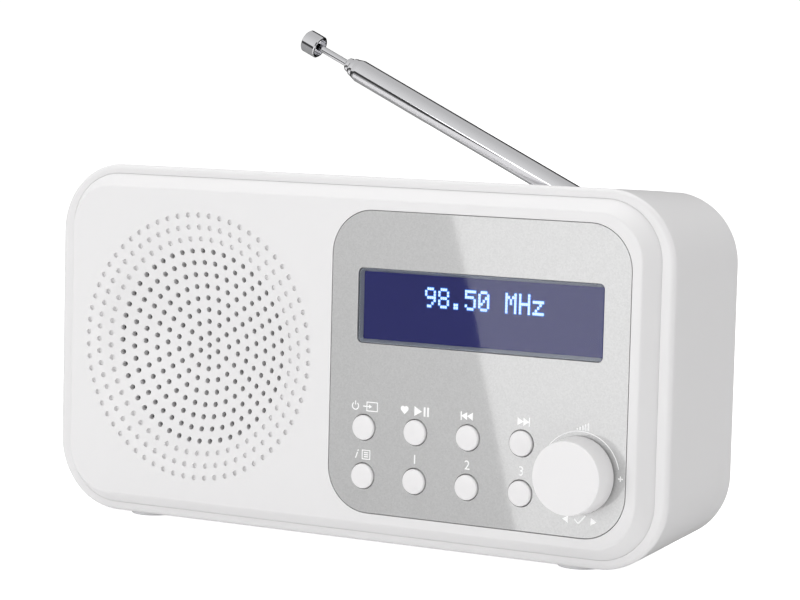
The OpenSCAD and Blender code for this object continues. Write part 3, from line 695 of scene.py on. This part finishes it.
def makeKnob():
    face, high = knob["face"], knob["height"]
    profile = [(7.6, -knob["gap"] + high - 6), (8.1, knob["gap"]), (knob["radius"] - 0.25, knob["gap"]),
               (knob["radius"], knob["gap"] + 0.25)]
    profile += arcPoints(face - 0.3, high - 0.3, 0.3, 3, 88, 5)
    profile += [(face * (1 - i / 6), high - 0.03 * i / 6) for i in range(2, 6)]
    dial = turned("volumeKnob", profile, 128, x=knob["x"], y=knob["z"])
    settle(dial, facingFront, faceCentre)
    smooth(dial, 35)
    return finishPiece(dial, whiteButton, "tuning_knob", "knob", slot="button_white")



def alongAerial(piece, body, node):
    pivot = Vector(aerial["pivot"]) * mm
    settle(piece, (0, math.radians(aerial["angle"] - 90), 0), (pivot.x, frontY + pivot.y, midZ + pivot.z))
    smooth(piece, 40)
    return finishPiece(piece, chrome, body, node, slot="aerial_chrome")


def tubeProfile(start, end, outer, inner, crimp):
    return [(inner, start), (outer - 0.15, start), (outer, start + 0.15), (outer, end - crimp - 0.5),
            (outer - 0.12, end - crimp), (outer - 0.4, end - 0.12), (outer - 0.5, end), (inner, end)]


def makeAerial():
    mastStart, mastEnd, mastR = aerial["mast"]
    middleStart, middleEnd, middleR = aerial["middle"]
    innerStart, innerEnd, innerR = aerial["inner"]
    rodStart, rodEnd, rodR = aerial["rod"]
    tipStart, tipL, tipR = aerial["tip"]
    alongAerial(turned("aerialMast", tubeProfile(mastStart, mastEnd, mastR, mastR - 0.45, 1.1), 64, True),
                "mast", "aerial_mast")
    alongAerial(turned("aerialMiddle", tubeProfile(middleStart, middleEnd, middleR, middleR - 0.5, 0.5), 48, True),
                "middle_tube", "aerial_middle")
    alongAerial(turned("aerialInner", tubeProfile(innerStart, innerEnd, innerR, rodR + 0.1, 0.4), 48, True),
                "inner_tube", "aerial_inner")
    alongAerial(turned("aerialRod", [(rodR - 0.15, rodStart), (rodR, rodStart + 0.2), (rodR, rodEnd)], 32),
                "thin_rod", "aerial_rod")
    cap = [(rodR + 0.05, tipStart + 2.1), (2.3, tipStart + 2.1), (2.5, tipStart + 1.9), (2.55, tipStart),
           (3.0, tipStart), (tipR, tipStart + 0.25), (tipR, tipStart + tipL - 0.35), (tipR - 0.3, tipStart + tipL - 0.05),
           (tipR - 0.6, tipStart + tipL), (0.3, tipStart + tipL)]
    alongAerial(turned("aerialCap", cap, 64), "thin_rod", "aerial_tip")



def refined(node, name, material, width, slot, angle=35):
    deselectAll()
    source = frame["nodes"][node]
    piece = source.copy()
    piece.data = source.data.copy()
    bpy.context.scene.collection.objects.link(piece)
    piece.name = name
    piece.parent = None
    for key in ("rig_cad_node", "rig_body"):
        del piece[key]
    editAll(piece, "VERT")
    bpy.ops.mesh.remove_doubles(threshold=0.001 * mm)
    bpy.ops.mesh.dissolve_limited(angle_limit=math.radians(0.5))
    bpy.ops.object.mode_set(mode="OBJECT")
    if width:
        applyModifier(piece, "BEVEL", width=width * mm, segments=2, limit_method="ANGLE",
                      angle_limit=math.radians(angle))
    smooth(piece, angle)
    return finishPiece(piece, material, source["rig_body"], node, slot=slot)


refinedNodes = (
    ("rear_cover", "rearCover", whiteCase, 0.25, "case_white"),
    ("battery_door", "batteryDoor", whiteCase, 0.2, "case_white"),
    ("rubber_feet", "rubberFeet", whiteRubber, 0.3, "rubber_white"),
    ("aerial_root", "aerialKnuckle", chrome, 0.2, "aerial_chrome"),
    ("aerial_base", "aerialFoot", chrome, 0.2, "aerial_chrome"),
    ("aerial_pin", "aerialPin", steel, 0.1, "steel"),
    ("headphone_jack", "headphoneJack", blackPlastic, 0.15, "black_plastic"),
    ("case_screws", "caseScrews", steel, 0.1, "steel"),
    ("speaker_cone", "speakerCone", paperCone, 0, "cone_paper"),
    ("speaker_dust_cap", "speakerDustCap", paperCone, 0, "cone_paper"),
)

plainNodes = {
    "usb_socket": steel, "battery_tray": whiteCase, "battery_springs": steel, "battery_plates": steel,
    "battery_cells": cellJacket, "aerial_washer": steel, "aerial_screw": steel, "speaker_gasket": blackRubber,
    "speaker_frame": blackPlastic, "speaker_magnet": ferrite, "speaker_screws": steel, "main_board": boardGreen,
    "io_board": boardGreen, "button_board": boardGreen, "display_board": boardGreen, "display_backlight": milkyGuide,
    "tuner_can": steel, "amplifier_chip": blackPlastic, "capacitors": blackPlastic, "button_switches": blackPlastic,
    "encoder_shaft": steel, "encoder_slider": blackPlastic, "encoder_body": steel, "board_screws": steel,
    "speaker_lead": redWire, "ribbon_cable": flatCable,
}


def dressFrame():
    for node, name, material, width, slot in refinedNodes:
        refined(node, name, material, width, slot)
    for node, material in plainNodes.items():
        piece = frame["nodes"][node]
        piece.data.materials.clear()
        piece.data.materials.append(material)



studio = {"fill": 0.64, "card": 1.95, "cardSize": (0.52, 0.48), "cardEdge": (-0.4942, -1.0, -0.10), "cardLean": 14.5,
          "key": 6.0, "keySize": 0.5, "keyPlace": (-0.75, -1.5, 0.15), "top": 8.0, "topSize": 1.0,
          "topPlace": (0, 0.1, 1.2), "floorGlow": 0.27, "floorSeen": 0.5,
          "depthTones": ((-1, 1), (0, 0.85), (0.6, 0.8), (0.78, 0.02)),
          "heightTones": ((-1, 0.5), (-0.3, 0.45), (-0.22, 0.06), (0, 0.06), (0.06, 0.9), (1, 0.75))}


def makeFloor():
    deselectAll()
    bpy.ops.mesh.primitive_plane_add(size=8, location=(0, 0, 0))
    floor = bpy.context.object
    floor.name = "floor"
    material = bpy.data.materials.new("paleFloor")
    material.use_nodes = True
    shader = material.node_tree.nodes["Principled BSDF"]
    shader.inputs["Base Color"].default_value = (0.8, 0.8, 0.8, 1)
    shader.inputs["Roughness"].default_value = 0.9
    shader.inputs["Emission Color"].default_value = (1, 1, 1, 1)
    ray = addNode(material.node_tree, "ShaderNodeLightPath")
    glow = addNode(material.node_tree, "ShaderNodeMath", operation="MULTIPLY_ADD")
    glow.inputs[1].default_value = studio["floorSeen"]
    glow.inputs[2].default_value = studio["floorGlow"]
    material.node_tree.links.new(ray.outputs["Is Camera Ray"], glow.inputs[0])
    material.node_tree.links.new(glow.outputs[0], shader.inputs["Emission Strength"])
    floor.data.materials.append(material)
    floor.visible_glossy = False
    floor.visible_transmission = False


def areaLight(name, width, height, power, place):
    deselectAll()
    place = faceCentre + Vector(place)
    bpy.ops.object.light_add(type="AREA", location=place)
    light = bpy.context.object
    light.name = name
    light.rotation_euler = (faceCentre - place).to_track_quat("-Z", "Y").to_euler()
    light.data.shape = "RECTANGLE"
    light.data.size, light.data.size_y = width, height
    light.data.energy = power
    return light


# Grey tones along one axis of the mirrored room, from -1 to 1
def toneRamp(tree, axis, tones):
    level = addNode(tree, "ShaderNodeMapRange")
    level.inputs["From Min"].default_value = -1
    ramp = addNode(tree, "ShaderNodeValToRGB")
    stops = ramp.color_ramp.elements
    while len(stops) < len(tones):
        stops.new(0.5)
    for stop, (place, tone) in zip(stops, tones):
        stop.position = (place + 1) / 2
        stop.color = (tone, tone, tone, 1)
    tree.links.new(axis, level.inputs["Value"])
    tree.links.new(level.outputs["Result"], ramp.inputs["Fac"])
    return ramp.outputs["Color"]


def makeLights():
    world = bpy.data.worlds.new("studio")
    bpy.context.scene.world = world
    world.use_nodes = True
    tree = world.node_tree
    tree.nodes.clear()
    out = addNode(tree, "ShaderNodeOutputWorld")
    fill = addNode(tree, "ShaderNodeBackground")
    fill.inputs["Strength"].default_value = studio["fill"]
    fill.inputs["Color"].default_value = (1, 1, 1, 1)
    seen = addNode(tree, "ShaderNodeBackground")
    seen.inputs["Strength"].default_value = 1.05
    seen.inputs["Color"].default_value = (1, 1, 1, 1)
    mirrored = addNode(tree, "ShaderNodeBackground")
    mirrored.inputs["Strength"].default_value = 0.9
    place = addNode(tree, "ShaderNodeTexCoord")
    split = addNode(tree, "ShaderNodeSeparateXYZ")
    tree.links.new(place.outputs["Generated"], split.inputs[0])
    depth = toneRamp(tree, split.outputs["Y"], studio["depthTones"])
    height = toneRamp(tree, split.outputs["Z"], studio["heightTones"])
    both = addNode(tree, "ShaderNodeVectorMath", operation="MULTIPLY")
    tree.links.new(depth, both.inputs[0])
    tree.links.new(height, both.inputs[1])
    tree.links.new(both.outputs["Vector"], mirrored.inputs["Color"])
    ray = addNode(tree, "ShaderNodeLightPath")
    clear = addNode(tree, "ShaderNodeMath", operation="MAXIMUM")
    tree.links.new(ray.outputs["Is Glossy Ray"], clear.inputs[0])
    tree.links.new(ray.outputs["Is Transmission Ray"], clear.inputs[1])
    glossMix = addNode(tree, "ShaderNodeMixShader")
    cameraMix = addNode(tree, "ShaderNodeMixShader")
    tree.links.new(clear.outputs[0], glossMix.inputs[0])
    tree.links.new(fill.outputs[0], glossMix.inputs[1])
    tree.links.new(mirrored.outputs[0], glossMix.inputs[2])
    tree.links.new(ray.outputs["Is Camera Ray"], cameraMix.inputs[0])
    tree.links.new(glossMix.outputs[0], cameraMix.inputs[1])
    tree.links.new(seen.outputs[0], cameraMix.inputs[2])
    tree.links.new(cameraMix.outputs[0], out.inputs["Surface"])

    # The upright card at the left: its slanted left edge is what the glossy panel mirrors
    width, height = studio["cardSize"]
    lean = math.radians(studio["cardLean"])
    along = Vector((math.cos(lean), 0, math.sin(lean))) * width / 2
    card = areaLight("glossCard", width, height, studio["card"], Vector(studio["cardEdge"]) + along)
    card.rotation_euler = (math.radians(90), -lean, 0)
    card.visible_diffuse = False
    key = areaLight("softKey", studio["keySize"], studio["keySize"], studio["key"], studio["keyPlace"])
    top = areaLight("topSoft", studio["topSize"], studio["topSize"], studio["top"], studio["topPlace"])
    for light in (key, top):
        light.visible_glossy = False
        light.visible_transmission = False


def makeCamera():
    view = {"place": (0.37841, -0.63031, 0.08153), "turn": (84.931, -1.410, 29.857), "lens": 124.74}
    deselectAll()
    bpy.ops.object.camera_add(location=faceCentre + Vector(view["place"]))
    camera = bpy.context.object
    camera.rotation_euler = [math.radians(a) for a in view["turn"]]
    camera.data.lens = view["lens"]
    camera.data.sensor_width = 36
    camera.data.clip_start = 0.01
    bpy.context.scene.camera = camera


bpy.context.scene.view_settings.view_transform = "Standard"
makeCamera()
makeFloor()
makeLights()
print("camera, floor and lights")
makeCase()
print("case sleeve")
makeFascia()
print("raised front")
makePanel()
makePrinting()
print("control panel")
makeBezel()
makeLens()
makeCell()
makeDots("displayHalo", (0.95, 1.05), -1.96, -1.93, displayHalo)
makeDots("displayDots", display["dot"], -1.9, -1.86, displayText)
print("display")
makeButtons()
makeKnob()
print("buttons and knob")
makeAerial()
print("aerial")
dressFrame()
print("carried-over pieces")

deselectAll()
